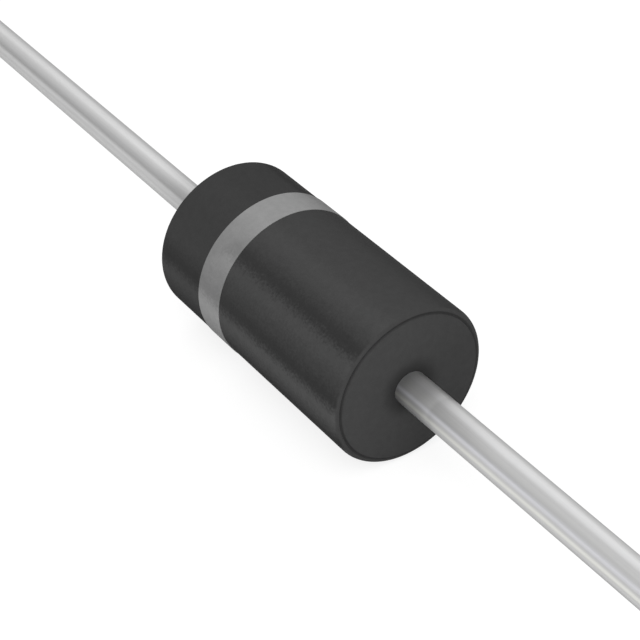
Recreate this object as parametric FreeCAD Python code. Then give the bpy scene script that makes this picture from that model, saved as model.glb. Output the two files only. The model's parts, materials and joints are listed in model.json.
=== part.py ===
import FreeCAD, Part
import math
import os

# Axial rectifier diode, sizes in millimetres.
# X runs along the leads, from the cathode at -X to the anode at +X, and Z is up.
# The origin is the centre of the moulded body, on the axis of the leads.

# Moulded body
body_diameter = 5.2
body_length = 9.5
body_edge_radius = 0.24

# Witness ring, a fine groove that the mould leaves at the foot of the rounding of both end faces
witness_ring_width = 0.08
witness_ring_floor = 0.02  # width of its flat floor
witness_ring_depth = 0.045

# Cathode band, a ring of ink printed round the body
band_from_cathode_end = 2.35
band_width = 1.13
band_ink_thickness = 0.02

# Leads, tinned copper wire with a cold-headed disc inside the body
lead_diameter = 1.06
lead_free_length = 25.4
lead_tip_bevel = 0.06
head_overhang = 0.03  # how far the disc reaches past the corners of the die
head_thickness = 0.35
head_rim_bevel = 0.06
neck_flare = 0.07  # growth of the neck's radius from the end face of the body to the disc
neck_root_bevel = 0.15

# Silicon die, a square with a bevelled mesa on its anode side
die_side = 1.8
die_thickness = 0.25
mesa_depth = 0.08
mesa_bevel = 0.1

# Solder between the die and the two discs
solder_thickness = 0.05
solder_inset = 0.05  # bare border between the solder and the edge of its pad
solder_spread = 0.1  # growth of the solder's radius from the die to the disc

# Silicone bead that seals the junction
coating_cover = 0.3  # least thickness of silicone over the discs

lead_radius = lead_diameter / 2
body_radius = body_diameter / 2
body_end = body_length / 2
neck_radius = lead_radius + neck_flare
die_corner_radius = die_side / 2 * math.sqrt(2)
head_radius = die_corner_radius + head_overhang
head_front = die_thickness / 2 + solder_thickness
head_back = head_front + head_thickness
lead_tip = body_end + lead_free_length

x_axis = FreeCAD.Vector(1, 0, 0)
centre = FreeCAD.Vector(0, 0, 0)


def at(x, radius):
    """A point of a half section: its place along the leads and its distance from their axis."""
    return FreeCAD.Vector(x, 0, radius)


def line(start, end):
    return Part.LineSegment(start, end).toShape()


def closed_run(points):
    """Straight edges from each point to the next and back to the first."""
    return [line(start, end) for start, end in zip(points, points[1:] + points[:1])]


def rounded_corner(start, corner, end):
    """A quarter circle from start to end in place of their right-angled corner."""
    arc_centre = start + end - corner
    middle = arc_centre + (corner - arc_centre) / math.sqrt(2)
    return Part.Arc(start, middle, end).toShape()


def turned(half_section):
    """The solid that a closed half section sweeps round the axis of the leads."""
    return Part.Face(Part.Wire(half_section)).revolve(centre, x_axis, 360)


def rounded_cylinder(radius, half_length, edge_radius):
    """A cylinder centred on the origin whose two rims are rounded."""
    left_side = at(-half_length, radius - edge_radius)
    left_top = at(-half_length + edge_radius, radius)
    right_top = at(half_length - edge_radius, radius)
    right_side = at(half_length, radius - edge_radius)
    return turned([
        line(at(-half_length, 0), left_side),
        rounded_corner(left_side, at(-half_length, radius), left_top),
        line(left_top, right_top),
        rounded_corner(right_top, at(half_length, radius), right_side),
        line(right_side, at(half_length, 0)),
        line(at(half_length, 0), at(-half_length, 0)),
    ])


def make_witness_ring():
    """The space of the groove in the anode's end face."""
    middle = body_radius - body_edge_radius + witness_ring_width / 2
    floor = body_end - witness_ring_depth
    outline = [
        at(body_end, middle - witness_ring_width / 2),
        at(floor, middle - witness_ring_floor / 2),
        at(floor, middle + witness_ring_floor / 2),
        at(body_end, middle + witness_ring_width / 2),
    ]
    return turned(closed_run(outline))


def make_anode_lead():
    """Wire with a disc at its inner end and a neck that tapers to the end face of the body."""
    outline = [
        at(head_front, 0),
        at(head_front, head_radius - head_rim_bevel),
        at(head_front + head_rim_bevel, head_radius),
        at(head_back - head_rim_bevel, head_radius),
        at(head_back, head_radius - head_rim_bevel),
        at(head_back, neck_radius + neck_root_bevel),
        at(head_back + neck_root_bevel, neck_radius),
        at(body_end, lead_radius),
        at(lead_tip - lead_tip_bevel, lead_radius),
        at(lead_tip, lead_radius - lead_tip_bevel),
        at(lead_tip, 0),
    ]
    return turned(closed_run(outline))


def square(x, side):
    """A square outline that faces along the leads."""
    half = side / 2
    corners = [
        FreeCAD.Vector(x, -half, -half),
        FreeCAD.Vector(x, half, -half),
        FreeCAD.Vector(x, half, half),
        FreeCAD.Vector(x, -half, half),
    ]
    return Part.makePolygon(corners + corners[:1])


def make_silicon_die():
    """A square slab whose anode side is bevelled to a smaller mesa."""
    mesa_foot = die_thickness / 2 - mesa_depth
    mesa_side = die_side - 2 * mesa_bevel
    slab = Part.Face(square(-die_thickness / 2, die_side)).extrude(x_axis * (die_thickness - mesa_depth))
    mesa = Part.makeLoft([square(mesa_foot, die_side), square(die_thickness / 2, mesa_side)], True, True)
    return slab.fuse(mesa).removeSplitter()


def make_solder(pad_side, direction):
    """A shallow cone of solder from one face of the die to the disc on that side."""
    radius_on_die = pad_side / 2 - solder_inset
    start = direction * (die_thickness / 2)
    return Part.makeCone(radius_on_die, radius_on_die + solder_spread, solder_thickness, start, direction)


def make_bead():
    """The outer form of the silicone, an even cover over both discs."""
    return rounded_cylinder(
        head_radius + coating_cover,
        head_back + coating_cover,
        head_rim_bevel + coating_cover,
    )


def make_cathode_band():
    """A thin ring of ink that lies on the body."""
    start = -body_end + band_from_cathode_end
    outer = Part.makeCylinder(body_radius + band_ink_thickness, band_width, at(start, 0), x_axis)
    inner = Part.makeCylinder(body_radius, band_width, at(start, 0), x_axis)
    return outer.cut(inner)


def make_pieces():
    """Every piece by name, cut so that neighbours meet face to face."""
    anode_lead = make_anode_lead()
    cathode_lead = anode_lead.mirror(centre, x_axis)
    silicon_die = make_silicon_die()
    anode_solder = make_solder(die_side - 2 * mesa_bevel, x_axis)
    cathode_solder = make_solder(die_side, -x_axis)
    bead = make_bead()
    leads = [anode_lead, cathode_lead]
    witness_ring = make_witness_ring()
    witness_rings = [witness_ring, witness_ring.mirror(centre, x_axis)]
    moulding = rounded_cylinder(body_radius, body_end, body_edge_radius)
    return {
        "moulded_body": moulding.cut(leads + [bead] + witness_rings),
        "cathode_band": make_cathode_band(),
        "anode_lead": anode_lead,
        "cathode_lead": cathode_lead,
        "silicon_die": silicon_die,
        "anode_solder": anode_solder,
        "cathode_solder": cathode_solder,
        "junction_coating": bead.cut(leads + [silicon_die, anode_solder, cathode_solder]),
    }


os.makedirs("parts", exist_ok=True)
for name, shape in make_pieces().items():
    print(f"{name}: {len(shape.Solids)} solid, valid {shape.isValid()}, {shape.Volume:.4f} mm3")
    shape.exportStep(f"parts/{name}.step")
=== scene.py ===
import json
import math

import bmesh
import bpy
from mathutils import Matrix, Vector


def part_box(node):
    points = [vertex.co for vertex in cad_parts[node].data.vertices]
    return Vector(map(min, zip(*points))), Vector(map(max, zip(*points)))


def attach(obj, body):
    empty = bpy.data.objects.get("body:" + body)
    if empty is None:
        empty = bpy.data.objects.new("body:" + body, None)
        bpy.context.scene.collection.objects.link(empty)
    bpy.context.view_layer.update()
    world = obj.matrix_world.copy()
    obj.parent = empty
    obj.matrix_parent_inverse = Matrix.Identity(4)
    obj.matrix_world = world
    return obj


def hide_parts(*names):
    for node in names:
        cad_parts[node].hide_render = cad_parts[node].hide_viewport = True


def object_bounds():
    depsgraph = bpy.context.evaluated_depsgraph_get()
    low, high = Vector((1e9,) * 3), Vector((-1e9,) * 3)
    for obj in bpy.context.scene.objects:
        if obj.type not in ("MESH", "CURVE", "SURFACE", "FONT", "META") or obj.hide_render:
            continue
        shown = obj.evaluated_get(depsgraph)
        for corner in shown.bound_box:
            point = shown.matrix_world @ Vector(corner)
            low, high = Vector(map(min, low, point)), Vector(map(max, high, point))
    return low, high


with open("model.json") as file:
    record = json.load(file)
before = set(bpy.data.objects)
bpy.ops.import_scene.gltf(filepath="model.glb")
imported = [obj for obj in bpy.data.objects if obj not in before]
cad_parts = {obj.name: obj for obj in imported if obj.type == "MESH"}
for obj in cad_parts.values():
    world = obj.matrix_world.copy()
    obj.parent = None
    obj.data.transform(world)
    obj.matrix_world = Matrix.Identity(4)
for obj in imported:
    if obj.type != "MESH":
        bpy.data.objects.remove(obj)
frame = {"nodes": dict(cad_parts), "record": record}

bl_info = {
    "name": "Axial rectifier diode",
    "version": (1, 0, 0),
    "blender": (4, 5, 0),
    "location": "3D View > Sidebar > Diode",
    "description": "Finishes an axial rectifier diode and its plain studio around the packed solids",
    "category": "Object",
}

MM = 0.001
MICRON = 0.000001

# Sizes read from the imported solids. X runs along the leads and the anode is at +X.
CAD_LOW, CAD_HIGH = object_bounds()
BODY_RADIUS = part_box("moulded_body")[1].z
BODY_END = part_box("moulded_body")[1].x
BAND_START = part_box("cathode_band")[0].x
BAND_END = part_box("cathode_band")[1].x
BAND_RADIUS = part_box("cathode_band")[1].z
BEAD_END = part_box("junction_coating")[1].x
BEAD_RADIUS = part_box("junction_coating")[1].z
HEAD_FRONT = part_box("anode_lead")[0].x
HEAD_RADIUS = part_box("anode_lead")[1].z
HEAD_BACK = BEAD_END - (BEAD_RADIUS - HEAD_RADIUS)
LEAD_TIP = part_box("anode_lead")[1].x
PIN_SIZES = {mount["name"]: mount["dims"] for mount in frame["record"]["mounts"]}
WIRE_RADIUS = PIN_SIZES["anode_lead_pin"]["r_mm"] * MM

# How finely the pieces are turned, and how long a step along their outline may be
BODY_SEGMENTS = 256
BODY_STEP = 0.15 * MM
LEAD_SEGMENTS = 128
LEAD_STEP = 0.5 * MM
MERGE_DISTANCE = 0.2 * MICRON
SHARP_ANGLE = math.radians(40)

# The wander of the moulded surface
UNEVENNESS_SIZE = 0.5 * MM
UNEVENNESS_SEED = 3.0

# Sides of the pieces, as angles round the leads that are 0 at the top and grow towards -Y. They place the
# painted shading, streaks and highlights below.
CALM_SIDE = math.radians(-8)
CALM_SIDE_BEYOND_BAND = math.radians(18)
BRIGHT_SIDE = math.radians(50)
BAND_LIGHTEST_SIDE = math.radians(1)
BODY_LIGHTEST_SIDE = math.radians(10)
HIGHLIGHT_SIDE_OF_CATHODE = math.radians(22)
HIGHLIGHT_SIDE_OF_ANODE = math.radians(-10)

# Stretches of both leads, from the end faces of the body outwards, that carry painted shade and light
DARK_FOOT = 0.7 * MM
LIGHT_STRETCH = 1.35 * MM
LIGHT_STRETCH_EDGE = 0.2 * MM
SHADED_STRETCH = 4.4 * MM

# Studio
KEY_DIRECTION = (0.5, -0.45, 0.74)
KEY_DISTANCE = 0.3
BACK_DIRECTION = (-0.66, 0.46, 0.59)
BACK_DISTANCE = 0.35
SOFTBOX_SIZE = 0.3
CARD_DISTANCE = 80 * MM
CARD_ANGLES = math.radians(-8), math.radians(76)  # its upper and its lower edge, round the leads
CARD_ENDS = -1.0, -36 * MM  # along the leads, past the tip of the cathode lead
FLOOR_REACH = 2.0
FLOOR_COLOUR = 0.86
FLOOR_GLOW = 1.29
FLOOR_GLOW_SHARE = 0.62
SENSOR_WIDTH = 36.0


# Settings that a user would change

class DiodeBodyLook(bpy.types.PropertyGroup):
    edge_radius: bpy.props.FloatProperty(
        name="Edge radius", description="Rounding where the side meets an end face",
        default=0.24 * MM, min=0.0, unit="LENGTH")
    shoulder_radius: bpy.props.FloatProperty(
        name="Cavity shoulder", description="Rounding of the cavity that the silicone bead fills",
        default=0.36 * MM, min=0.0, unit="LENGTH")
    unevenness: bpy.props.FloatProperty(
        name="Unevenness", description="How far the moulded surface wanders from its true form",
        default=1.5 * MICRON, min=0.0, unit="LENGTH")
    colour: bpy.props.FloatVectorProperty(
        name="Charcoal", description="Colour of the moulding epoxy",
        default=(0.061, 0.061, 0.061), size=3, min=0.0, max=1.0, subtype="COLOR")
    roughness: bpy.props.FloatProperty(
        name="Roughness", description="How matt the epoxy is",
        default=0.75, min=0.0, max=1.0, subtype="FACTOR")
    # Strength of the painted shading streaks along the body
    streaks: bpy.props.FloatProperty(
        name="Painted shading streaks", description="Strength of the soft lengthwise streaks",
        default=0.33, min=0.0, max=1.0, subtype="FACTOR")
    groove_width: bpy.props.FloatProperty(
        name="Witness groove", description="Width of the fine ring that the mould's end leaves on each face",
        default=0.08 * MM, min=0.0, unit="LENGTH")
    groove_floor: bpy.props.FloatProperty(
        name="Groove floor", description="Width of the flat floor of that ring",
        default=0.02 * MM, min=0.0, unit="LENGTH")
    groove_depth: bpy.props.FloatProperty(
        name="Groove depth", description="Depth of that ring below the face",
        default=0.045 * MM, min=0.0, unit="LENGTH")


class DiodeBandLook(bpy.types.PropertyGroup):
    colour: bpy.props.FloatVectorProperty(
        name="Ink", description="Colour of the printed ring",
        default=(0.282, 0.282, 0.282), size=3, min=0.0, max=1.0, subtype="COLOR")
    roughness: bpy.props.FloatProperty(
        name="Roughness", description="How matt the ink is",
        default=0.75, min=0.0, max=1.0, subtype="FACTOR")
    # How far the body's painted shading streaks show in the ink
    streaks: bpy.props.FloatProperty(
        name="Painted shading streaks", description="How far the streaks of the body show through the ink",
        default=0.19, min=0.0, max=1.0, subtype="FACTOR")


class DiodeLeadLook(bpy.types.PropertyGroup):
    rim_radius: bpy.props.FloatProperty(
        name="Disc rim", description="Rounding of the rim of the disc inside the body",
        default=0.06 * MM, min=0.0, unit="LENGTH")
    neck_flare: bpy.props.FloatProperty(
        name="Neck flare", description="Growth of the neck's radius towards the disc",
        default=0.07 * MM, min=0.0, unit="LENGTH")
    root_radius: bpy.props.FloatProperty(
        name="Neck root", description="Rounding between the neck and the disc",
        default=0.15 * MM, min=0.0, unit="LENGTH")
    tip_radius: bpy.props.FloatProperty(
        name="Tip edge", description="Rounding of the edge of the cut tip",
        default=0.06 * MM, min=0.0, unit="LENGTH")
    colour: bpy.props.FloatVectorProperty(
        name="Tin", description="Colour of the tin plate",
        default=(0.6, 0.6, 0.6), size=3, min=0.0, max=1.0, subtype="COLOR")
    roughness: bpy.props.FloatProperty(
        name="Roughness", description="How satin the tin plate is",
        default=0.34, min=0.0, max=1.0, subtype="FACTOR")
    metal_share: bpy.props.FloatProperty(
        name="Bare metal", description="Share of bright metal under the thin dull film",
        default=0.7, min=0.0, max=1.0, subtype="FACTOR")
    # Partly drawing lines, partly painted reflection streaks
    lines: bpy.props.FloatProperty(
        name="Drawing and reflection lines", description="Strength of the soft lines that drawing leaves along the wire",
        default=0.16, min=0.0, max=1.0, subtype="FACTOR")
    # Painted reflection tints, blue and straw, along the lines
    tint: bpy.props.FloatProperty(
        name="Painted reflection tint", description="Strength of the faint blue and straw tints of the drawing lines",
        default=0.045, min=0.0, max=1.0, subtype="FACTOR")


class DiodeJunctionLook(bpy.types.PropertyGroup):
    silicon: bpy.props.FloatVectorProperty(
        name="Silicon", description="Colour of the die",
        default=(0.12, 0.12, 0.14), size=3, min=0.0, max=1.0, subtype="COLOR")
    solder: bpy.props.FloatVectorProperty(
        name="Solder", description="Colour of the two solder joints",
        default=(0.45, 0.45, 0.47), size=3, min=0.0, max=1.0, subtype="COLOR")
    silicone: bpy.props.FloatVectorProperty(
        name="Silicone", description="Colour of the bead that seals the junction",
        default=(0.75, 0.75, 0.72), size=3, min=0.0, max=1.0, subtype="COLOR")


class DiodeStageLook(bpy.types.PropertyGroup):
    azimuth: bpy.props.FloatProperty(
        name="Azimuth", description="Where the camera stands round the upright, from -Y towards +X",
        default=math.radians(55.33), subtype="ANGLE")
    elevation: bpy.props.FloatProperty(
        name="Elevation", description="How far the camera looks down",
        default=math.radians(36.32), subtype="ANGLE")
    distance: bpy.props.FloatProperty(
        name="Distance", description="From the camera to the point it aims at",
        default=55.77 * MM, min=0.0, unit="LENGTH")
    aim: bpy.props.FloatVectorProperty(
        name="Aim", description="The point at the centre of the view",
        default=(0.285 * MM, -0.014 * MM, -0.33 * MM), size=3, subtype="TRANSLATION")
    focal_length: bpy.props.FloatProperty(
        name="Focal length", description="Focal length in millimetres on a 36 mm sensor",
        default=104.65, min=1.0)
    ambient: bpy.props.FloatProperty(
        name="Ambient light", description="Level of the even light from all round",
        default=0.6, min=0.0)
    key_power: bpy.props.FloatProperty(
        name="Key softbox", description="Power of the large softbox high over the near end",
        default=0.37, min=0.0, subtype="POWER")
    back_power: bpy.props.FloatProperty(
        name="Back softbox", description="Power of the softbox behind, seen along the top of the leads",
        default=0.09, min=0.0, subtype="POWER")
    card_level: bpy.props.FloatProperty(
        name="Grey card", description="Brightness at the dark edge of the card that the leads mirror",
        default=0.3, min=0.0, max=1.0, subtype="FACTOR")


# Node helpers

def feed(tree, value, socket):
    """Links an output to a socket, or sets the socket to a plain value."""
    if isinstance(value, bpy.types.NodeSocket):
        tree.links.new(value, socket)
    else:
        socket.default_value = value


def add(tree, kind, inputs=None, **settings):
    """A new node with its settings made and its named inputs fed."""
    node = tree.nodes.new(kind)
    for name, value in settings.items():
        setattr(node, name, value)
    for name, value in (inputs or {}).items():
        feed(tree, value, node.inputs[name])
    return node


def calculate(tree, operation, *values):
    """The output of one math node."""
    node = add(tree, "ShaderNodeMath", operation=operation)
    for value, socket in zip(values, node.inputs):
        feed(tree, value, socket)
    return node.outputs[0]


def product(tree, first, *others):
    """Several values multiplied, one after the other."""
    for other in others:
        first = calculate(tree, "MULTIPLY", first, other)
    return first


def ramp(tree, value, low, high, at_low, at_high):
    """A smooth change from at_low to at_high as a value goes from low to high."""
    node = add(tree, "ShaderNodeMapRange", {
        "Value": value, "From Min": low, "From Max": high, "To Min": at_low, "To Max": at_high,
    }, interpolation_type="SMOOTHSTEP")
    return node.outputs["Result"]


def swing(tree, noise):
    """A noise of 0 to 1 spread evenly about 0, from -1 to 1."""
    return product(tree, calculate(tree, "SUBTRACT", noise.outputs["Fac"], 0.5), 2.0)


def place_of(tree, vector):
    """The X, Y and Z of a point."""
    return add(tree, "ShaderNodeSeparateXYZ", {"Vector": vector}).outputs


def angle_round(tree, place):
    """The angle round the leads, 0 at the top and growing towards -Y."""
    return calculate(tree, "ARCTAN2", product(tree, place["Y"], -1.0), place["Z"])


def radius_out(tree, place):
    """The distance from the axis of the leads."""
    squares = [calculate(tree, "POWER", place[axis], 2.0) for axis in "YZ"]
    return calculate(tree, "SQRT", calculate(tree, "ADD", *squares))


def across_band(tree, place, beyond, before):
    """A value that changes under the band: beyond it towards the cathode, and before it towards the anode."""
    return ramp(tree, place["X"], BAND_START, BAND_END, beyond, before)


def across_body(tree, place, on_cathode, on_anode):
    """A value that changes along the body, and so differs between the two leads."""
    return ramp(tree, place["X"], -BODY_END, BODY_END, on_cathode, on_anode)


def node_group(name, kind, sockets, fill):
    """The node group of that name, made when it is first asked for.

    Its sockets are given as (name, "INPUT" or "OUTPUT", type, default), and fill makes its nodes.
    """
    if name in bpy.data.node_groups:
        return bpy.data.node_groups[name]
    tree = bpy.data.node_groups.new(name, kind)
    for socket_name, in_out, socket_type, default in sockets:
        socket = tree.interface.new_socket(name=socket_name, in_out=in_out, socket_type=socket_type)
        if default is not None:
            socket.default_value = default
    given = add(tree, "NodeGroupInput").outputs
    result = add(tree, "NodeGroupOutput").inputs
    fill(tree, given, result)
    return tree


def use_group(tree, group, **inputs):
    """Places a shader node group and feeds its inputs, whose names have underscores for spaces here."""
    node = add(tree, "ShaderNodeGroup", node_tree=group)
    for name, value in inputs.items():
        feed(tree, value, node.inputs[name.replace("_", " ").capitalize()])
    return node.outputs


# Geometry nodes: a half section turned round the leads

def turned_grid(tree, given):
    """Copies of the half section, turned by even steps and joined as a grid that closes on itself."""
    size = add(tree, "GeometryNodeAttributeDomainSize", {"Geometry": given["Half section"]})
    count = size.outputs["Point Count"]
    rows = calculate(tree, "ADD", given["Segments"], 1)
    grid = add(tree, "GeometryNodeMeshGrid", {"Vertices X": rows, "Vertices Y": count})
    index = add(tree, "GeometryNodeInputIndex").outputs["Index"]
    row = calculate(tree, "FLOOR", calculate(tree, "DIVIDE", calculate(tree, "ADD", index, 0.5), count))
    along = calculate(tree, "SUBTRACT", index, product(tree, row, count))
    angle = product(tree, calculate(tree, "DIVIDE", row, given["Segments"]), 2 * math.pi)
    position = add(tree, "GeometryNodeInputPosition").outputs["Position"]
    point = add(tree, "GeometryNodeSampleIndex", data_type="FLOAT_VECTOR", domain="POINT")
    feed(tree, given["Half section"], point.inputs["Geometry"])
    feed(tree, position, point.inputs["Value"])
    feed(tree, along, point.inputs["Index"])
    turn = add(tree, "ShaderNodeVectorRotate", rotation_type="X_AXIS")
    feed(tree, point.outputs["Value"], turn.inputs["Vector"])
    feed(tree, angle, turn.inputs["Angle"])
    turned = add(tree, "GeometryNodeSetPosition", {
        "Geometry": grid.outputs["Mesh"], "Position": turn.outputs["Vector"]})
    closed = add(tree, "GeometryNodeMergeByDistance", {
        "Geometry": turned.outputs["Geometry"], "Distance": MERGE_DISTANCE})
    return closed.outputs["Geometry"]


def fill_turning(tree, given, result):
    """The turned grid, with a slight wander of its surface and its material."""
    noise = add(tree, "ShaderNodeTexNoise", noise_dimensions="4D")
    feed(tree, given["Seed"], noise.inputs["W"])
    feed(tree, calculate(tree, "DIVIDE", 1.0, given["Unevenness size"]), noise.inputs["Scale"])
    shift = add(tree, "ShaderNodeVectorMath", operation="SCALE")
    feed(tree, add(tree, "GeometryNodeInputNormal").outputs["Normal"], shift.inputs["Vector"])
    feed(tree, product(tree, swing(tree, noise), given["Unevenness"]), shift.inputs["Scale"])
    uneven = add(tree, "GeometryNodeSetPosition", {
        "Geometry": turned_grid(tree, given), "Offset": shift.outputs["Vector"]})
    smooth = add(tree, "GeometryNodeSetShadeSmooth", {"Geometry": uneven.outputs["Geometry"]})
    real = add(tree, "GeometryNodeRealizeInstances", {"Geometry": smooth.outputs["Geometry"]})
    finish = add(tree, "GeometryNodeSetMaterial", {
        "Geometry": real.outputs["Geometry"], "Material": given["Material"]})
    feed(tree, finish.outputs["Geometry"], result["Piece"])


def turning_group():
    """Turns a half section in the XZ plane once round the X axis, as the mould and the wire are round."""
    return node_group("Turned round the leads", "GeometryNodeTree", [
        ("Half section", "INPUT", "NodeSocketGeometry", None),
        ("Segments", "INPUT", "NodeSocketInt", LEAD_SEGMENTS),
        ("Unevenness", "INPUT", "NodeSocketFloat", 0.0),
        ("Unevenness size", "INPUT", "NodeSocketFloat", UNEVENNESS_SIZE),
        ("Seed", "INPUT", "NodeSocketFloat", UNEVENNESS_SEED),
        ("Material", "INPUT", "NodeSocketMaterial", None),
        ("Piece", "OUTPUT", "NodeSocketGeometry", None),
    ], fill_turning)


def rounded_path(corners, steps=10):
    """Points along straight runs whose corners, given as (x, radius from the axis, rounding), are arcs."""
    points = []
    for before, corner, after in zip(corners, corners[1:], corners[2:]):
        here = Vector(corner[:2])
        back = (Vector(before[:2]) - here).normalized()
        ahead = (Vector(after[:2]) - here).normalized()
        rounding = corner[2]
        if rounding == 0:
            points.append(here)
            continue
        half_turn = back.angle(ahead) / 2
        centre = here + (back + ahead).normalized() * (rounding / math.sin(half_turn))
        start = here + back * (rounding / math.tan(half_turn)) - centre
        end = here + ahead * (rounding / math.tan(half_turn)) - centre
        sweep = start.angle(end)
        for step in range(steps + 1):
            part = step / steps
            arm = start * math.sin((1 - part) * sweep) + end * math.sin(part * sweep)
            points.append(centre + arm / math.sin(sweep))
    return [Vector(corners[0][:2])] + points + [Vector(corners[-1][:2])]


def divided(points, longest):
    """The same path with its long runs split into even steps."""
    result = [points[0]]
    for start, end in zip(points, points[1:]):
        pieces = max(1, math.ceil((end - start).length / longest))
        result += [start.lerp(end, step / pieces) for step in range(1, pieces + 1)]
    return result


def grooved(outside, look):
    """The body's outside with a fine groove cut at the foot of the rounding of both faces."""
    foot = BODY_RADIUS - look.edge_radius
    crest = foot + look.groove_width
    floor = BODY_END - look.groove_depth
    middle = foot + look.groove_width / 2
    half_floor = look.groove_floor / 2
    result = []
    for point, after in zip(outside, outside[1:] + outside[-1:]):
        on_end = abs(point.x) > floor
        if not (on_end and foot < point.y < crest):
            result.append(point)
        if on_end and min(point.y, after.y) <= foot < max(point.y, after.y):
            side = math.copysign(1.0, point.x)
            groove = [
                Vector((side * BODY_END, foot)),
                Vector((side * floor, middle - half_floor)),
                Vector((side * floor, middle + half_floor)),
            ]
            result += groove if side < 0 else groove[::-1]
    return result


def turned_piece(name, section, segments, longest_step, material, unevenness=0.0):
    """A closed mesh made by turning a half section, with the modifier applied and the faces outwards."""
    points = divided(section, longest_step)
    outline = bpy.data.meshes.new(name + "_section")
    edges = [(i, i + 1) for i in range(len(points) - 1)]
    outline.from_pydata([(x, 0, radius) for x, radius in points], edges, [])
    piece = bpy.data.objects.new(name, outline)
    bpy.context.scene.collection.objects.link(piece)
    modifier = piece.modifiers.new("Turning", "NODES")
    modifier.node_group = turning_group()
    values = {
        "Segments": segments,
        "Unevenness": unevenness,
        "Unevenness size": UNEVENNESS_SIZE,
        "Seed": UNEVENNESS_SEED,
        "Material": material,
    }
    for item in modifier.node_group.interface.items_tree:
        if item.item_type == "SOCKET" and item.name in values:
            modifier[item.identifier] = values[item.name]
    evaluated = piece.evaluated_get(bpy.context.evaluated_depsgraph_get())
    solid = bpy.data.meshes.new_from_object(evaluated)
    piece.modifiers.clear()
    piece.data = solid
    solid.name = name
    bpy.data.meshes.remove(outline)
    shell = bmesh.new()
    shell.from_mesh(solid)
    bmesh.ops.recalc_face_normals(shell, faces=shell.faces)
    open_edges = [edge for edge in shell.edges if not edge.is_manifold]
    shell.to_mesh(solid)
    shell.free()
    if open_edges:
        raise RuntimeError(f"{name} has {len(open_edges)} open edges")
    solid.set_sharp_from_angle(angle=SHARP_ANGLE)
    return piece


def stand_for(piece, node):
    """The piece rides on the one body of the row and takes the place of its solid."""
    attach(piece, "root")
    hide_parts(node)


# Shader groups

def fill_grain(tree, given, result):
    """Noise of the given size, as a factor about 1 and as a height."""
    noise = add(tree, "ShaderNodeTexNoise", {"Vector": given["Vector"], "Detail": 3.0, "Roughness": 0.6})
    feed(tree, calculate(tree, "DIVIDE", 1.0, given["Size"]), noise.inputs["Scale"])
    cloud = product(tree, swing(tree, noise), given["Contrast"])
    feed(tree, calculate(tree, "ADD", 1.0, cloud), result["Factor"])
    feed(tree, noise.outputs["Fac"], result["Height"])


def grain_group():
    """Fine cloudy grain, as filler leaves in moulded epoxy or tin leaves on wire."""
    return node_group("Fine grain", "ShaderNodeTree", [
        ("Vector", "INPUT", "NodeSocketVector", None),
        ("Size", "INPUT", "NodeSocketFloat", 0.1 * MM),
        ("Contrast", "INPUT", "NodeSocketFloat", 0.1),
        ("Factor", "OUTPUT", "NodeSocketFloat", None),
        ("Height", "OUTPUT", "NodeSocketFloat", None),
    ], fill_grain)


def fill_streaks(tree, given, result):
    """A wave round the leads with a wavering edge, as a factor about 1."""
    left_on_calm_side = 0.1
    place = place_of(tree, given["Vector"])
    angle = angle_round(tree, place)
    turned = calculate(tree, "ADD", angle, product(tree, place["X"], given["Twist"]))
    noise = add(tree, "ShaderNodeTexNoise", {"Vector": given["Vector"], "Detail": 2.0})
    feed(tree, calculate(tree, "DIVIDE", 1.0, given["Waver size"]), noise.inputs["Scale"])
    waver = product(tree, calculate(tree, "SUBTRACT", noise.outputs["Fac"], 0.5), given["Waver"])
    off_crest = calculate(tree, "SUBTRACT", calculate(tree, "ADD", turned, waver), given["First crest"])
    turns = product(tree, given["Count"], off_crest)
    skewed = product(tree, calculate(tree, "COSINE", turns), given["Skew"])
    wave = calculate(tree, "COSINE", calculate(tree, "ADD", turns, skewed))
    off_calm = calculate(tree, "ABSOLUTE", calculate(tree, "SUBTRACT", angle, given["Calm side"]))
    away = ramp(tree, off_calm, given["Calm from"], given["Calm to"], left_on_calm_side, 1.0)
    streaks = product(tree, wave, away, given["Strength"])
    feed(tree, calculate(tree, "ADD", 1.0, streaks), result["Factor"])


def streak_group():
    """Soft streaks along the leads, evenly spaced round them and faint near the calm side."""
    return node_group("Lengthwise streaks", "ShaderNodeTree", [
        ("Vector", "INPUT", "NodeSocketVector", None),
        ("Strength", "INPUT", "NodeSocketFloat", 0.1),
        ("Count", "INPUT", "NodeSocketFloat", 10.0),
        ("First crest", "INPUT", "NodeSocketFloat", 0.0),
        ("Twist", "INPUT", "NodeSocketFloat", 0.0),
        ("Skew", "INPUT", "NodeSocketFloat", 0.0),
        ("Calm side", "INPUT", "NodeSocketFloat", 0.0),
        ("Calm from", "INPUT", "NodeSocketFloat", 0.5),
        ("Calm to", "INPUT", "NodeSocketFloat", 1.0),
        ("Waver", "INPUT", "NodeSocketFloat", 0.0),
        ("Waver size", "INPUT", "NodeSocketFloat", 0.1 * MM),
        ("Factor", "OUTPUT", "NodeSocketFloat", None),
    ], fill_streaks)


def on_body_side(tree, place, amount):
    """An amount that fades out over the rounding of the body's rims."""
    edge_radius = bpy.context.scene.diode_body.edge_radius
    fade_start = BODY_END - 0.45 * edge_radius
    fade_end = BODY_END - 0.2 * edge_radius
    return ramp(tree, calculate(tree, "ABSOLUTE", place["X"]), fade_start, fade_end, amount, 0.0)


def fill_painted_streak_amount(tree, given, result):
    """The strength of the painted shading streaks at a place on the body."""
    at_cathode, grow_start, grow_end = 0.7, -0.8 * BODY_END, 0.5 * BODY_END
    below, fade_start, fade_end = 1.25, -0.2 * BODY_RADIUS, 0.3 * BODY_RADIUS
    place = place_of(tree, given["Vector"])
    side = on_body_side(tree, place, 1.0)
    along = ramp(tree, place["X"], grow_start, grow_end, at_cathode, 1.0)
    lower = ramp(tree, place["Z"], fade_start, fade_end, below, 1.0)
    feed(tree, product(tree, along, lower, side, given["Strength"]), result["Amount"])


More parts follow.
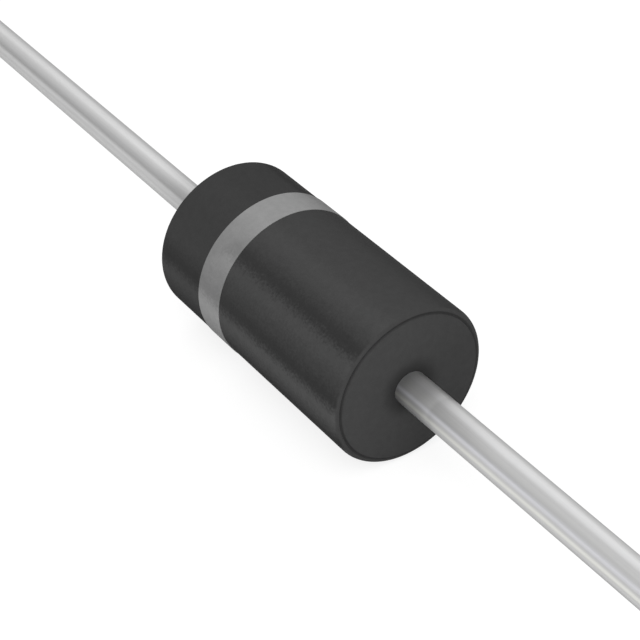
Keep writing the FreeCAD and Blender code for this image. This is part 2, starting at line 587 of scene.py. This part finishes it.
def painted_streak_amount_group():
    """Where the body's painted shading streaks show: on its side, and more towards the anode end and the
    lower half.
    """
    return node_group("Painted streaks on the body", "ShaderNodeTree", [
        ("Vector", "INPUT", "NodeSocketVector", None),
        ("Strength", "INPUT", "NodeSocketFloat", 0.1),
        ("Amount", "OUTPUT", "NodeSocketFloat", None),
    ], fill_painted_streak_amount)


def fill_sides(tree, given, result):
    """A plain wave round the leads, as a factor about 1."""
    off_first = calculate(tree, "SUBTRACT", given["Angle"], given["First side"])
    wave = calculate(tree, "COSINE", product(tree, off_first, given["Sides"]))
    feed(tree, calculate(tree, "ADD", 1.0, product(tree, wave, given["Depth"])), result["Factor"])


def sides_group():
    """A painted shade that is lightest on a number of sides, evenly spaced round the leads."""
    return node_group("Painted shade by sides", "ShaderNodeTree", [
        ("Angle", "INPUT", "NodeSocketFloat", 0.0),
        ("Sides", "INPUT", "NodeSocketFloat", 4.0),
        ("First side", "INPUT", "NodeSocketFloat", 0.0),
        ("Depth", "INPUT", "NodeSocketFloat", 0.1),
        ("Factor", "OUTPUT", "NodeSocketFloat", None),
    ], fill_sides)


# Materials

def new_material(name):
    """A material, its tree and its Principled shader."""
    material = bpy.data.materials.new(name)
    material.use_nodes = True
    tree = material.node_tree
    return material, tree, tree.nodes["Principled BSDF"]


def object_coordinates(tree):
    """The point being shaded, in the frame that all pieces share."""
    return add(tree, "ShaderNodeTexCoord").outputs["Object"]


def tinted(tree, colour, *factors):
    """A colour times each of the factors."""
    result = add(tree, "ShaderNodeRGB").outputs["Color"]
    result.default_value = (*colour, 1.0)
    for factor in factors:
        scale = add(tree, "ShaderNodeVectorMath", operation="SCALE")
        feed(tree, result, scale.inputs["Vector"])
        feed(tree, factor, scale.inputs["Scale"])
        result = scale.outputs["Vector"]
    return result


def bumped(tree, shader, height, depth):
    """Relief of the given depth on a shader's normal."""
    bump = add(tree, "ShaderNodeBump", {"Height": height, "Distance": depth})
    feed(tree, bump.outputs["Normal"], shader.inputs["Normal"])


def sides_shade(tree, place, sides, first_side, depth):
    """A painted shading factor that is highest on a number of sides of the piece."""
    return use_group(tree, sides_group(), angle=angle_round(tree, place), sides=sides,
                     first_side=first_side, depth=depth)["Factor"]


def painted_exit_shade(tree, place):
    """Painted shade on each end face, darkening softly towards the lead."""
    reach, darkest = 2.1 * WIRE_RADIUS, 0.6
    return ramp(tree, radius_out(tree, place), WIRE_RADIUS, reach, darkest, 1.0)


def end_shade(tree, place):
    """The epoxy beyond the band is a little darker."""
    return across_band(tree, place, beyond=0.88, before=1.0)


def painted_body_shading(tree, place):
    """Painted shading round the body: a little lighter on four sides."""
    depth = on_body_side(tree, place, across_band(tree, place, beyond=0.02, before=0.1))
    return sides_shade(tree, place, sides=4.0, first_side=BODY_LIGHTEST_SIDE, depth=depth)


def painted_face_light(tree, place):
    """Painted light and shade across each end face: a little lighter towards one side."""
    reach, darkest, lightest = 0.8 * BODY_RADIUS, -0.05, 0.19
    fade_start, fade_end = 0.88 * BODY_RADIUS, 0.92 * BODY_RADIUS
    radius = radius_out(tree, place)
    off_bright = calculate(tree, "SUBTRACT", angle_round(tree, place), BRIGHT_SIDE)
    lean = product(tree, radius, calculate(tree, "COSINE", off_bright))
    cloud = ramp(tree, lean, -reach, reach, darkest, lightest)
    face = ramp(tree, radius, fade_start, fade_end, 1.0, 0.0)
    return calculate(tree, "ADD", 1.0, product(tree, cloud, face))


def ring_shade(tree, place, radius, core, fringe, amount):
    """A factor on a ring of an end face, even over its core and gone past its fringe."""
    off = calculate(tree, "ABSOLUTE", calculate(tree, "SUBTRACT", radius_out(tree, place), radius))
    return ramp(tree, off, core, fringe, amount, 1.0)


def painted_groove_shade(tree, place):
    """Painted shade in the witness groove of each face: a fine dark ring."""
    look = bpy.context.scene.diode_body
    radius = BODY_RADIUS - look.edge_radius + look.groove_width / 2
    core, fringe = 0.3 * look.groove_width, 0.6 * look.groove_width
    return ring_shade(tree, place, radius, core, fringe, amount=0.8)


def painted_rim_highlight(tree, place):
    """A painted highlight on the rounding of each rim, a little lighter towards the face."""
    edge_radius = bpy.context.scene.diode_body.edge_radius
    radius = BODY_RADIUS - 0.4 * edge_radius
    return ring_shade(tree, place, radius, core=0.0, fringe=0.25 * edge_radius, amount=1.05)


def painted_band_shading(tree, place):
    """Painted shading round the band: a little lighter on three sides, one of them at the top."""
    return sides_shade(tree, place, sides=3.0, first_side=BAND_LIGHTEST_SIDE, depth=0.18)


def painted_shading_streaks(tree, coordinates, strength):
    """The body's painted shading streaks, which also show in the ink on it."""
    place = place_of(tree, coordinates)
    painted_streak_amount = use_group(tree, painted_streak_amount_group(), vector=coordinates, strength=strength)
    return use_group(
        tree, streak_group(), vector=coordinates, strength=painted_streak_amount["Amount"],
        count=10.0, first_crest=math.radians(21.4), skew=0.5,
        calm_side=across_band(tree, place, beyond=CALM_SIDE_BEYOND_BAND, before=CALM_SIDE),
        calm_from=across_band(tree, place, beyond=math.radians(38), before=math.radians(14)),
        calm_to=across_band(tree, place, beyond=math.radians(50), before=math.radians(56)),
        waver=math.radians(14), waver_size=0.08 * MM)["Factor"]


def epoxy_material(name, look, *shades):
    """Matt filled epoxy, or ink on it: cloudy grain, soft lengthwise streaks of painted shading and the
    shades given.
    """
    material, tree, shader = new_material(name)
    coordinates = object_coordinates(tree)
    place = place_of(tree, coordinates)
    streaks = painted_shading_streaks(tree, coordinates, look.streaks)
    mottle = use_group(tree, grain_group(), vector=coordinates, size=0.22 * MM, contrast=0.12)
    filler = use_group(tree, grain_group(), vector=coordinates, size=0.035 * MM, contrast=0.1)
    factors = [streaks, mottle["Factor"], filler["Factor"]] + [shade(tree, place) for shade in shades]
    feed(tree, tinted(tree, look.colour, *factors), shader.inputs["Base Color"])
    feed(tree, product(tree, look.roughness, mottle["Factor"]), shader.inputs["Roughness"])
    shader.inputs["Specular IOR Level"].default_value = 0.005
    bumped(tree, shader, filler["Height"], 4 * MICRON)
    return material


def painted_foot_shading(tree, place):
    """Painted shade and light on the wire by the body: dark at its foot, a lighter stretch that ends in a
    soft line, and a darker stretch past that.
    """
    foot_end = BODY_END + DARK_FOOT
    light_stretch_end = BODY_END + LIGHT_STRETCH
    shade_start = light_stretch_end + LIGHT_STRETCH_EDGE
    shade_end = BODY_END + SHADED_STRETCH
    at_foot, on_light_stretch, past_light_stretch, far_out = 0.66, 1.2, 0.86, 0.985
    darker_above = 0.12
    away = calculate(tree, "ABSOLUTE", place["X"])
    # foot, film and dull paint shade, light and shade along the wire, and darkening paints shade on its upper
    # side
    foot = ramp(tree, away, BODY_END, foot_end, at_foot, 1.0)
    film = ramp(tree, away, light_stretch_end, shade_start, on_light_stretch, 1.0)
    dull = ramp(tree, away, shade_start, shade_end, past_light_stretch, far_out)
    darkening = ramp(tree, away, light_stretch_end, shade_end, darker_above, 0.0)
    tin = product(tree, dull, upper_side_shade(tree, place, darkening))
    return product(tree, foot, film, tin)


def upper_side_shade(tree, place, darkening):
    """Painted shade: a factor that darkens the upper side of the wire, between the top and -Y."""
    angle = angle_round(tree, place)
    past_top = ramp(tree, angle, math.radians(-16), math.radians(16), 0.0, 1.0)
    before_side = ramp(tree, angle, math.radians(36), math.radians(56), 1.0, 0.0)
    return calculate(tree, "SUBTRACT", 1.0, product(tree, past_top, before_side, darkening))


def painted_tin_highlights(tree, place):
    """Painted highlights: the tin is a little brighter on four sides of each lead."""
    brightest = across_body(tree, place, HIGHLIGHT_SIDE_OF_CATHODE, HIGHLIGHT_SIDE_OF_ANODE)
    return sides_shade(tree, place, sides=4.0, first_side=brightest, depth=0.07)


def lines_and_painted_reflections(tree, coordinates, strength, count, share_on_cathode):
    """Soft lines along the upper half of the wire's side, partly drawing lines and partly painted reflection
    streaks. Their twist is an angle for each metre.
    """
    skin_start, skin_end = 0.9 * WIRE_RADIUS, 0.98 * WIRE_RADIUS
    fade_start, fade_end = math.radians(86), math.radians(98)
    place = place_of(tree, coordinates)
    off_top = calculate(tree, "ABSOLUTE", angle_round(tree, place))
    side = ramp(tree, radius_out(tree, place), skin_start, skin_end, 0.0, 1.0)
    above = ramp(tree, off_top, fade_start, fade_end, 1.0, 0.0)
    along = across_body(tree, place, share_on_cathode * strength, strength)
    return use_group(
        tree, streak_group(), vector=coordinates, strength=product(tree, side, above, along),
        count=count, first_crest=math.radians(61), twist=math.radians(350),
        calm_side=CALM_SIDE, calm_from=math.radians(42), calm_to=math.radians(70),
        waver=math.radians(4), waver_size=2 * MM)["Factor"]


def tin_material(look):
    """Satin tin plate on drawn wire, with fine lines along it that are partly painted reflection streaks,
    faint painted blue and straw reflection tints, and painted shade and highlights.
    """
    material, tree, shader = new_material("tinned_wire")
    coordinates = object_coordinates(tree)
    place = place_of(tree, coordinates)
    drawn_and_reflected_lines = lines_and_painted_reflections(tree, coordinates, look.lines, count=14.0, share_on_cathode=0.4)
    tint = lines_and_painted_reflections(tree, coordinates, look.tint, count=7.0, share_on_cathode=0.0)
    lengthwise = add(tree, "ShaderNodeMapping", {"Vector": coordinates, "Scale": (0.01, 1.0, 1.0)})
    scratches = use_group(tree, grain_group(), vector=lengthwise.outputs["Vector"], size=0.06 * MM,
                          contrast=0.1)
    cloud = use_group(tree, grain_group(), vector=coordinates, size=0.6 * MM, contrast=0.03)
    colour = tinted(tree, look.colour, drawn_and_reflected_lines, scratches["Factor"], cloud["Factor"],
                    painted_foot_shading(tree, place), painted_tin_highlights(tree, place))
    # Painted reflection tints: the blue channel follows the tint lines
    painted_tint_factors = add(tree, "ShaderNodeCombineXYZ", {"X": 1.0, "Y": 1.0, "Z": tint})
    painted_tint_colour = add(tree, "ShaderNodeVectorMath", operation="MULTIPLY")
    feed(tree, colour, painted_tint_colour.inputs[0])
    feed(tree, painted_tint_factors.outputs["Vector"], painted_tint_colour.inputs[1])
    feed(tree, painted_tint_colour.outputs["Vector"], shader.inputs["Base Color"])
    feed(tree, product(tree, look.roughness, cloud["Factor"]), shader.inputs["Roughness"])
    shader.inputs["Metallic"].default_value = look.metal_share
    shader.inputs["Specular Tint"].default_value = (0.4, 0.4, 0.4, 1.0)
    bumped(tree, shader, scratches["Height"], 1 * MICRON)
    return material


def junction_material(name, colour, metallic, roughness, grain_size):
    """A plain finish with a little grain, for a piece that the body seals in."""
    material, tree, shader = new_material(name)
    grain = use_group(tree, grain_group(), vector=object_coordinates(tree), size=grain_size, contrast=0.1)
    feed(tree, tinted(tree, colour, grain["Factor"]), shader.inputs["Base Color"])
    feed(tree, product(tree, roughness, grain["Factor"]), shader.inputs["Roughness"])
    shader.inputs["Metallic"].default_value = metallic
    bumped(tree, shader, grain["Height"], 2 * MICRON)
    return material


def dress(node, material):
    """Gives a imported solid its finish."""
    for slot in frame["nodes"][node].material_slots:
        slot.material = material


# Stage

def white_for_camera(tree):
    """1 for rays that show the background, straight or mirrored, and 0 for rays that light the object."""
    path = add(tree, "ShaderNodeLightPath").outputs
    shown = calculate(tree, "MAXIMUM", path["Is Camera Ray"], path["Is Glossy Ray"])
    return calculate(tree, "MAXIMUM", shown, path["Is Transmission Ray"])


def add_world(look):
    """Even light all round, on a background that is white where it is seen."""
    world = bpy.data.worlds.new("studio")
    bpy.context.scene.world = world
    world.use_nodes = True
    tree = world.node_tree
    background = tree.nodes["Background"]
    background.inputs["Color"].default_value = (1.0, 1.0, 1.0, 1.0)
    strength = add(tree, "ShaderNodeMapRange", {
        "Value": white_for_camera(tree), "To Min": look.ambient, "To Max": 1.0})
    feed(tree, strength.outputs["Result"], background.inputs["Strength"])


def white_glow(tree, strength):
    """The output of a white emission shader."""
    glow = add(tree, "ShaderNodeEmission", {"Color": (1.0, 1.0, 1.0, 1.0), "Strength": strength})
    return glow.outputs["Emission"]


def add_flat(name, corners, material):
    """A flat face with four corners, for the stage."""
    mesh = bpy.data.meshes.new(name)
    mesh.from_pydata(corners, [], [(0, 1, 2, 3)])
    mesh.materials.append(material)
    flat = bpy.data.objects.new(name, mesh)
    bpy.context.scene.collection.objects.link(flat)
    return flat


def add_floor():
    """A wide pale floor that the body lies on. It keeps a soft shadow and is white to the camera."""
    material, tree, shader = new_material("floor")
    shader.inputs["Base Color"].default_value = (FLOOR_COLOUR, FLOOR_COLOUR, FLOOR_COLOUR, 1.0)
    shader.inputs["Roughness"].default_value = 0.9
    shader.inputs["Specular IOR Level"].default_value = 0.0
    share = product(tree, white_for_camera(tree), FLOOR_GLOW_SHARE)
    mix = add(tree, "ShaderNodeMixShader", {
        0: share, 1: shader.outputs["BSDF"], 2: white_glow(tree, FLOOR_GLOW)})
    feed(tree, mix.outputs["Shader"], tree.nodes["Material Output"].inputs["Surface"])
    signs = ((-1, -1), (1, -1), (1, 1), (-1, 1))
    corners = [(x * FLOOR_REACH, y * FLOOR_REACH, CAD_LOW.z) for x, y in signs]
    floor = add_flat("floor", corners, material)


def add_card(name, upper_level, lower_level):
    """A card along the -Y side that only mirrored rays see. It shades evenly between its two edges."""
    upper_angle, lower_angle = CARD_ANGLES
    material, tree, shader = new_material(name)
    tree.nodes.remove(shader)
    level = add(tree, "ShaderNodeMapRange", {
        "Value": angle_round(tree, place_of(tree, object_coordinates(tree))),
        "From Min": upper_angle, "From Max": lower_angle, "To Min": upper_level, "To Max": lower_level})
    glow = white_glow(tree, level.outputs["Result"])
    feed(tree, glow, tree.nodes["Material Output"].inputs["Surface"])
    corners = [
        (end, -CARD_DISTANCE * math.sin(angle), CARD_DISTANCE * math.cos(angle))
        for angle, ends in ((upper_angle, CARD_ENDS), (lower_angle, CARD_ENDS[::-1]))
        for end in ends]
    card = add_flat(name, corners, material)
    card.visible_camera = False
    card.visible_diffuse = False
    card.visible_transmission = False
    card.visible_shadow = False


def add_softbox(name, direction, distance, power, mirrored):
    """A round softbox that faces the body."""
    light = bpy.data.lights.new(name, "AREA")
    light.shape = "DISK"
    light.size = SOFTBOX_SIZE
    light.energy = power
    lamp = bpy.data.objects.new(name, light)
    lamp.location = Vector(direction).normalized() * distance
    lamp.rotation_euler = (-lamp.location).to_track_quat("-Z", "Y").to_euler()
    lamp.visible_glossy = mirrored
    bpy.context.scene.collection.objects.link(lamp)


def add_camera(look):
    """The photograph's view: the near lead comes towards the lower right."""
    level = math.cos(look.elevation)
    back = Vector((
        math.sin(look.azimuth) * level,
        -math.cos(look.azimuth) * level,
        math.sin(look.elevation),
    ))
    data = bpy.data.cameras.new("camera")
    data.lens = look.focal_length
    data.sensor_width = SENSOR_WIDTH
    data.clip_start = MM
    data.clip_end = 10.0
    camera = bpy.data.objects.new("camera", data)
    camera.location = Vector(look.aim) + back * look.distance
    camera.rotation_euler = (-back).to_track_quat("-Z", "Y").to_euler()
    bpy.context.scene.collection.objects.link(camera)
    bpy.context.scene.camera = camera


# Operators

class DIODE_OT_moulded_body(bpy.types.Operator):
    """Turns the moulded body, with the bores and the cavity that its inner pieces fill"""
    bl_idname = "diode.moulded_body"
    bl_label = "Moulded body"

    def execute(self, context):
        look = context.scene.diode_body
        flare = context.scene.diode_leads.neck_flare
        neck = WIRE_RADIUS + flare * (BODY_END - BEAD_END) / (BODY_END - HEAD_BACK)
        outside = rounded_path([
            (-BODY_END, WIRE_RADIUS, 0),
            (-BODY_END, BODY_RADIUS, look.edge_radius),
            (BODY_END, BODY_RADIUS, look.edge_radius),
            (BODY_END, WIRE_RADIUS, 0),
        ], steps=16)
        cavity = rounded_path([
            (BODY_END, WIRE_RADIUS, 0),
            (BEAD_END, neck, 0),
            (BEAD_END, BEAD_RADIUS, look.shoulder_radius),
            (-BEAD_END, BEAD_RADIUS, look.shoulder_radius),
            (-BEAD_END, neck, 0),
            (-BODY_END, WIRE_RADIUS, 0),
        ])
        section = grooved(outside, look) + cavity[1:]
        material = epoxy_material("moulding_compound", look, painted_exit_shade, end_shade, painted_body_shading,
                                  painted_face_light, painted_groove_shade, painted_rim_highlight)
        piece = turned_piece("moulded_body_turned", section, BODY_SEGMENTS, BODY_STEP, material,
                             look.unevenness)
        stand_for(piece, "moulded_body")
        return {"FINISHED"}


class DIODE_OT_cathode_band(bpy.types.Operator):
    """Turns the thin ring of ink that marks the cathode end"""
    bl_idname = "diode.cathode_band"
    bl_label = "Cathode band"

    def execute(self, context):
        edge = (BAND_RADIUS - BODY_RADIUS) / 2
        section = rounded_path([
            (BAND_START, BODY_RADIUS, 0),
            (BAND_START, BAND_RADIUS, edge),
            (BAND_END, BAND_RADIUS, edge),
            (BAND_END, BODY_RADIUS, 0),
            (BAND_START, BODY_RADIUS, 0),
        ], steps=4)
        material = epoxy_material("band_ink", context.scene.diode_band, painted_band_shading)
        piece = turned_piece("cathode_band_turned", section, BODY_SEGMENTS, BODY_STEP, material,
                             context.scene.diode_body.unevenness)
        stand_for(piece, "cathode_band")
        return {"FINISHED"}


class DIODE_OT_leads(bpy.types.Operator):
    """Turns both tinned wires, each with its cold-headed disc"""
    bl_idname = "diode.leads"
    bl_label = "Leads"

    def execute(self, context):
        look = context.scene.diode_leads
        material = tin_material(look)
        for name, side in (("anode_lead", 1), ("cathode_lead", -1)):
            section = rounded_path([
                (side * HEAD_FRONT, 0, 0),
                (side * HEAD_FRONT, HEAD_RADIUS, look.rim_radius),
                (side * HEAD_BACK, HEAD_RADIUS, look.rim_radius),
                (side * HEAD_BACK, WIRE_RADIUS + look.neck_flare, look.root_radius),
                (side * BODY_END, WIRE_RADIUS, 0),
                (side * LEAD_TIP, WIRE_RADIUS, look.tip_radius),
                (side * LEAD_TIP, 0, 0),
            ], steps=6)
            piece = turned_piece(name + "_turned", section, LEAD_SEGMENTS, LEAD_STEP, material)
            stand_for(piece, name)
        return {"FINISHED"}


class DIODE_OT_junction(bpy.types.Operator):
    """Finishes the sealed pieces: the die, its two solder joints and the silicone bead"""
    bl_idname = "diode.junction"
    bl_label = "Junction"

    def execute(self, context):
        look = context.scene.diode_junction
        silicon = junction_material("silicon", look.silicon, metallic=0.6, roughness=0.2,
                                    grain_size=0.1 * MM)
        solder = junction_material("solder", look.solder, metallic=1.0, roughness=0.45,
                                   grain_size=0.05 * MM)
        silicone = junction_material("silicone", look.silicone, metallic=0.0, roughness=0.35,
                                     grain_size=0.2 * MM)
        dress("silicon_die", silicon)
        dress("anode_solder", solder)
        dress("cathode_solder", solder)
        dress("junction_coating", silicone)
        return {"FINISHED"}


class DIODE_OT_stage(bpy.types.Operator):
    """Makes the white floor, the soft light and the camera"""
    bl_idname = "diode.stage"
    bl_label = "Stage"

    def execute(self, context):
        look = context.scene.diode_stage
        context.scene.view_settings.view_transform = "Standard"
        add_world(look)
        add_floor()
        add_softbox("key_softbox", KEY_DIRECTION, KEY_DISTANCE, look.key_power, mirrored=False)
        add_softbox("back_softbox", BACK_DIRECTION, BACK_DISTANCE, look.back_power, mirrored=True)
        add_card("grey_card", upper_level=1.0, lower_level=look.card_level)
        add_camera(look)
        return {"FINISHED"}


LOOKS = {
    "diode_body": DiodeBodyLook,
    "diode_band": DiodeBandLook,
    "diode_leads": DiodeLeadLook,
    "diode_junction": DiodeJunctionLook,
    "diode_stage": DiodeStageLook,
}
OPERATORS = (
    (DIODE_OT_moulded_body, "diode_body"),
    (DIODE_OT_cathode_band, "diode_band"),
    (DIODE_OT_leads, "diode_leads"),
    (DIODE_OT_junction, "diode_junction"),
    (DIODE_OT_stage, "diode_stage"),
)


class DIODE_PT_sidebar(bpy.types.Panel):
    """Lists the settings and the steps that make each group of pieces"""
    bl_idname = "DIODE_PT_sidebar"
    bl_label = "Axial rectifier diode"
    bl_space_type = "VIEW_3D"
    bl_region_type = "UI"
    bl_category = "Diode"

    def draw(self, context):
        for operator, look_name in OPERATORS:
            box = self.layout.box()
            look = getattr(context.scene, look_name)
            for setting in look.bl_rna.properties:
                if setting.identifier not in ("name", "rna_type"):
                    box.prop(look, setting.identifier)
            box.operator(operator.bl_idname)


def register():
    """Adds the settings, the operators and the panel to Blender."""
    for name, look in LOOKS.items():
        bpy.utils.register_class(look)
        setattr(bpy.types.Scene, name, bpy.props.PointerProperty(type=look))
    for operator, _ in OPERATORS:
        bpy.utils.register_class(operator)
    bpy.utils.register_class(DIODE_PT_sidebar)


def unregister():
    """Takes them away again, in the opposite order."""
    bpy.utils.unregister_class(DIODE_PT_sidebar)
    for operator, _ in reversed(OPERATORS):
        bpy.utils.unregister_class(operator)
    for name, look in reversed(LOOKS.items()):
        delattr(bpy.types.Scene, name)
        bpy.utils.unregister_class(look)


def main():
    """Makes every piece and the stage."""
    register()
    bpy.ops.diode.moulded_body()
    bpy.ops.diode.cathode_band()
    bpy.ops.diode.leads()
    bpy.ops.diode.junction()
    bpy.ops.diode.stage()


if __name__ == "__main__":
    main()
